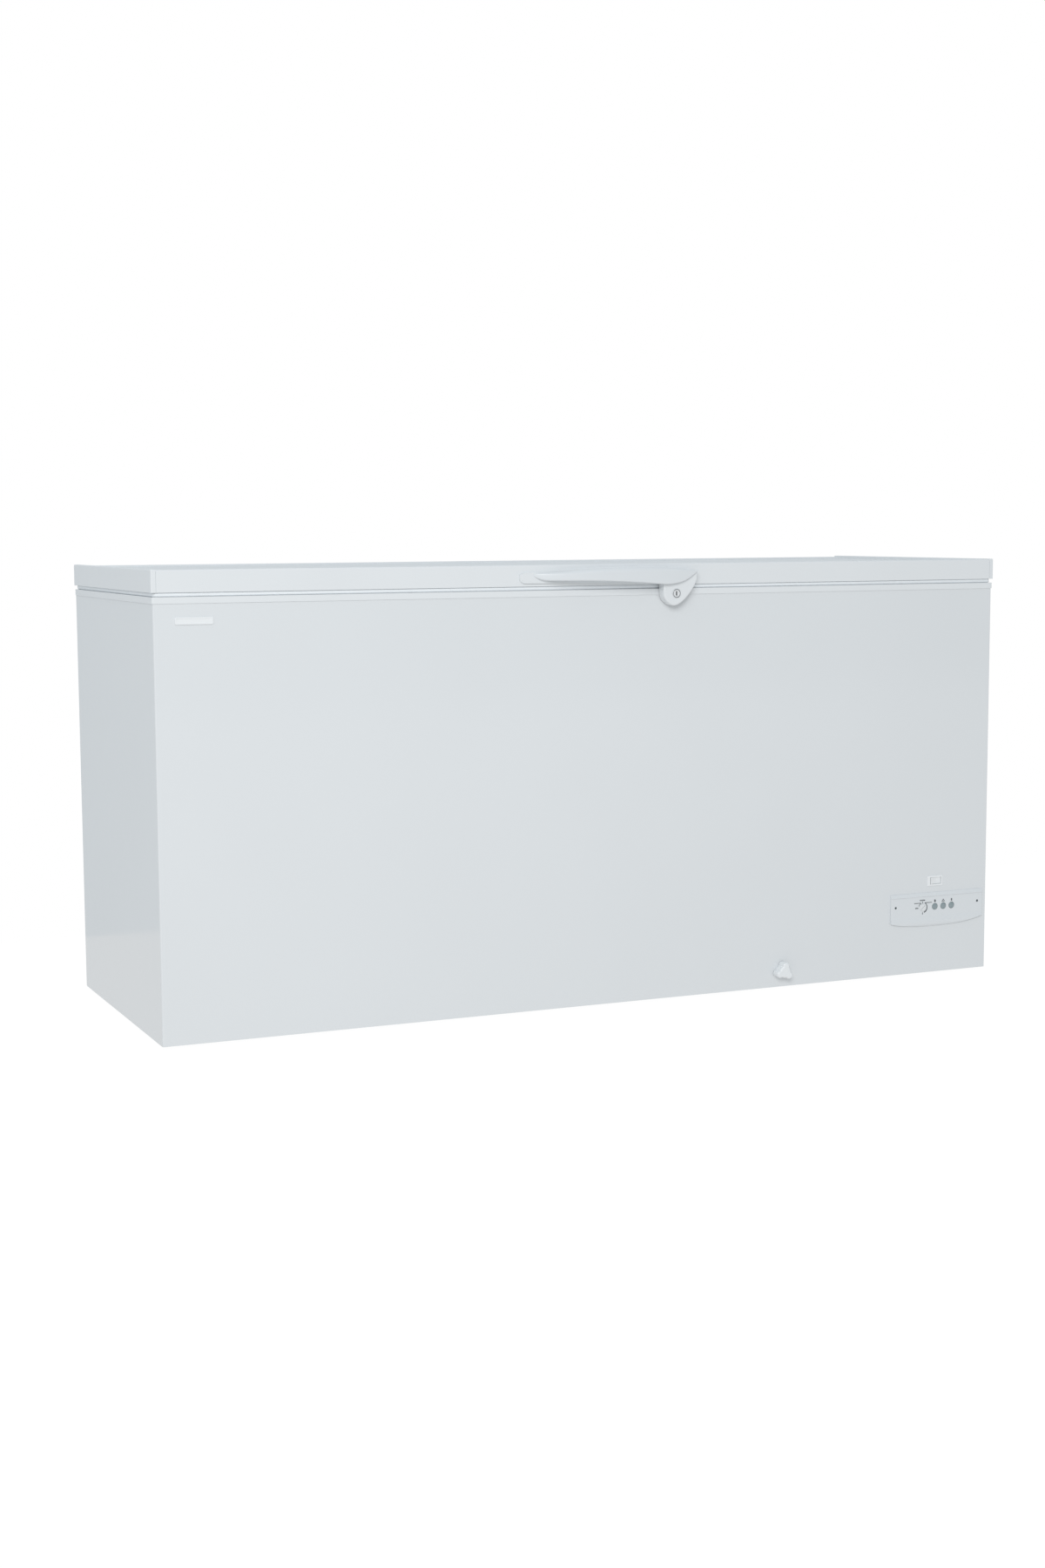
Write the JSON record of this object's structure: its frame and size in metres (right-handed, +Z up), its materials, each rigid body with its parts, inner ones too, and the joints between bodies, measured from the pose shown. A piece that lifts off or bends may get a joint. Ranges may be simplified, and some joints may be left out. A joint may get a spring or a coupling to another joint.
{
  "type": "chest freezer",
  "caption": "Long white chest freezer with a full-width hinged lid, a lockable bow handle, a low control panel with rocker switch, and a screw-on drain cap.",
  "frame": {"origin": "bottom centre of the overall box, on the floor", "axes": "+X along the cabinet to the viewer's right, -Y the front, +Z up; metres"},
  "size_m": [1.826, 0.702, 0.888],
  "materials": {
    "painted_steel": "gloss white enamel",
    "white_plastic": "gloss, fine moulded texture",
    "panel_plastic": "satin white",
    "liner_aluminium": "white coated, fine embossed",
    "galvanised": "dull zinc",
    "foam": "rigid polyurethane foam",
    "copper": "drawn copper",
    "black_enamel": "semi-gloss black",
    "black_plastic": "matt black",
    "gasket_rubber": "soft pale grey magnetic gasket",
    "rubber": "black rubber",
    "lens": "tinted lamp lens",
    "chrome": "polished",
    "zinc_screw": "zinc plated",
    "knob_plastic": "white",
    "blue_plastic": "white drain fitting"
  },
  "bodies": {
    "cabinet": {"wrap_shell": "painted_steel", "back_panel": "galvanised", "base_pan": "galvanised", "inner_liner": "liner_aluminium", "foam_insulation": "foam", "rim_front": "white_plastic", "rim_rear": "white_plastic", "rim_left": "white_plastic", "rim_right": "white_plastic", "evaporator_coil": "copper", "condenser_coil": "copper", "bay_bulkhead": "galvanised", "compressor_shell": "black_enamel", "compressor_grommets": "rubber", "compressor_bolts": "zinc_screw", "terminal_cover": "black_plastic", "filter_drier": "copper", "suction_line": "copper", "discharge_line": "copper", "capillary_tube": "copper", "compressor_tray": "galvanised", "rear_cover": "galvanised", "rear_cover_screws": "zinc_screw", "cord_gland": "black_plastic", "side_grille": "white_plastic", "control_panel": "panel_plastic", "panel_screws": "zinc_screw", "pilot_lamps": "lens", "thermostat_body": "black_plastic", "switch_bezel": "panel_plastic", "badge_plate": "white_plastic", "drain_socket": "blue_plastic", "drain_tube": "blue_plastic", "feet": "black_plastic", "lock_keeper": "zinc_screw", "hinge_brackets": "galvanised", "hinge_screws": "zinc_screw", "hinge_pins": "zinc_screw", "hinge_springs": "zinc_screw"},
    "lid": {"lid_top_panel": "painted_steel", "lid_front_trim": "white_plastic", "lid_rear_trim": "white_plastic", "lid_left_trim": "white_plastic", "lid_right_trim": "white_plastic", "lid_foam": "foam", "lid_liner": "white_plastic", "lid_gasket": "gasket_rubber", "handle_base": "white_plastic", "handle_grip": "white_plastic", "handle_screws": "zinc_screw", "lid_hinge_arms": "galvanised", "lid_hinge_screws": "zinc_screw", "lock_barrel": "chrome"},
    "lock": {"lock_plug": "chrome", "lock_cam": "zinc_screw"},
    "thermostat": {"thermostat_knob": "knob_plastic"},
    "rocker": {"switch_rocker": "knob_plastic"},
    "drain_carrier": {"drain_seal": "rubber"},
    "drain_closure": {"drain_cap": "white_plastic"},
    "stopper": {"drain_stopper": "rubber"}
  },
  "joints": [
    {"name": "lid_hinge", "type": "hinge", "parent": "cabinet", "child": "lid", "pos_m": [0, 0.335, 0.845], "axis": [-1, 0, 0], "range_deg": [0, 80], "deforming": ["hinge_springs"]},
    {"name": "lock_turn", "type": "hinge", "parent": "lid", "child": "lock", "pos_m": [0.1436, -0.325, 0.828], "axis": [0, -1, 0], "range_deg": [0, 90]},
    {"name": "thermostat_turn", "type": "hinge", "parent": "cabinet", "child": "thermostat", "pos_m": [0.7474, -0.311, 0.1496], "axis": [0, 1, 0], "range_deg": [-135, 135]},
    {"name": "rocker_tilt", "type": "hinge", "parent": "cabinet", "child": "rocker", "pos_m": [0.781, -0.3075, 0.2052], "axis": [0, 0, -1], "range_deg": [0, 16]},
    {"name": "drain_travel", "type": "slide", "parent": "cabinet", "child": "drain_carrier", "axis": [0, -1, 0], "range_m": [0, 0.01201]},
    {"name": "drain_cap_turn", "type": "hinge", "parent": "drain_carrier", "child": "drain_closure", "pos_m": [0.403, -0.325, 0.042], "axis": [0, -1, 0], "range_deg": [0, 1080]},
    {"name": "stopper_lift", "type": "slide", "parent": "cabinet", "child": "stopper", "axis": [0, 0, 1], "range_m": [0, 0.04]}
  ],
  "couplings": [
    {"joint": "drain_travel", "follows": "drain_cap_turn", "m_per_rad": 0.00063662}
  ]
}
